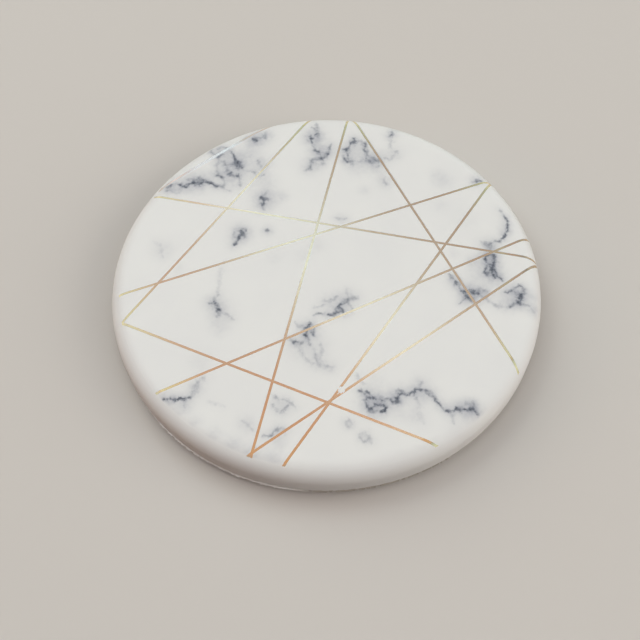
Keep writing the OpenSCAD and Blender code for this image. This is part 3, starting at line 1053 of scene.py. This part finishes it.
def seen_share(tree):
    """1 for rays from the camera or off a gloss, which see the pale background; 0 for soft light."""
    path = tree.nodes.new("ShaderNodeLightPath")
    seen = math_node(tree, "MAXIMUM", path.outputs["Is Camera Ray"], path.outputs["Is Glossy Ray"])
    return math_node(tree, "MAXIMUM", seen, path.outputs["Is Transmission Ray"])


def floor_material():
    """Pale where it is seen, with a brown table's glow on the object; it fades to the background."""
    made, tree, shader, place = material("floor")
    shader.inputs["Roughness"].default_value = 0.9
    seen = seen_share(tree)
    tree.links.new(mix_colour(tree, seen, TABLE_GLOW, FLOOR), shader.inputs["Base Color"])
    far = rising(tree, vector_node(tree, "LENGTH", place)["Value"], *FADE)
    distant = tree.nodes.new("ShaderNodeEmission")
    distant.inputs["Color"].default_value = BACKGROUND
    mix = tree.nodes.new("ShaderNodeMixShader")
    tree.links.new(product(tree, far, seen), mix.inputs[0])
    tree.links.new(shader.outputs["BSDF"], mix.inputs[1])
    tree.links.new(distant.outputs["Emission"], mix.inputs[2])
    tree.links.new(mix.outputs["Shader"], tree.nodes["Material Output"].inputs["Surface"])
    return made


def floor():
    """Round floor under the object, on which its shadow falls."""
    rim = [(x, y, 0) for x, y in circle(FLOOR_R, FLOOR_SIDES)]
    piece = new_piece("floor", rim, [tuple(range(FLOOR_SIDES))])
    piece.data.materials.append(floor_material())


def lamp(name, azimuth, elevation, distance, width, height, level, colour, roll=0, mirrored=True):
    """Soft panel that faces the object, in degrees and metres; at a level of 1 it is white."""
    light = bpy.data.lights.new(name, "AREA")
    light.shape = "RECTANGLE"
    light.size = width
    light.size_y = height
    light.energy = level * math.pi * width * height
    light.color = colour
    holder = bpy.data.objects.new(name, light)
    holder.visible_glossy = mirrored
    towards = direction(azimuth, elevation)
    turn = towards.to_track_quat("Z", "Y").to_matrix().to_4x4()
    rolled = turn @ Matrix.Rotation(math.radians(roll), 4, "Z")
    holder.matrix_world = Matrix.Translation(towards * distance) @ rolled
    bpy.context.scene.collection.objects.link(holder)


def sky():
    """Soft light from above, the surround seen in the gold, and the background of the floor."""
    world = bpy.data.worlds.new("studio")
    world.use_nodes = True
    tree = world.node_tree
    _, _, height = axes(tree, tree.nodes.new("ShaderNodeTexCoord").outputs["Generated"])
    glow = ramp(tree, height, *GLOW)
    surround = ramp(tree, height, *SURROUND)
    lit = mix_colour(tree, seen_share(tree), glow, surround)
    from_camera = tree.nodes.new("ShaderNodeLightPath").outputs["Is Camera Ray"]
    background = tree.nodes["Background"]
    tree.links.new(mix_colour(tree, from_camera, lit, BACKGROUND), background.inputs["Color"])
    background.inputs["Strength"].default_value = 1
    bpy.context.scene.world = world


def lights():
    """The sky, the panels and the fills."""
    sky()
    for panel in PANELS:
        lamp(*panel)
    for fill in FILLS:
        lamp(*fill, mirrored=False)


def camera():
    """Camera fitted to the outline in the photograph, where an image is 640 pixels wide."""
    image_px, focal_px = 640, 850
    px_per_mm = 4.17
    shift_x_px, shift_y_px = 5.9, -28.3
    sensor_mm = 36
    elevation, roll = math.radians(59.3), math.radians(-1.7)
    back = Vector((0, -math.cos(elevation), math.sin(elevation)))
    level_right = Vector((1, 0, 0))
    level_up = back.cross(level_right)
    right = math.cos(roll) * level_right + math.sin(roll) * level_up
    up = -math.sin(roll) * level_right + math.cos(roll) * level_up
    distance = focal_px / px_per_mm * MM
    place = back * distance
    place -= right * (shift_x_px * distance / focal_px)
    place += up * (shift_y_px * distance / focal_px)
    place.z += SEAT_Z
    data = bpy.data.cameras.new("camera")
    data.sensor_width = sensor_mm
    data.lens = sensor_mm * focal_px / image_px
    data.clip_start = 0.01
    holder = bpy.data.objects.new("camera", data)
    turn = Matrix((right, up, back)).transposed().to_4x4()
    holder.matrix_world = Matrix.Translation(place) @ turn
    bpy.context.scene.collection.objects.link(holder)
    bpy.context.scene.camera = holder


floor()
lights()
camera()
bpy.context.scene.view_settings.view_transform = "Standard"
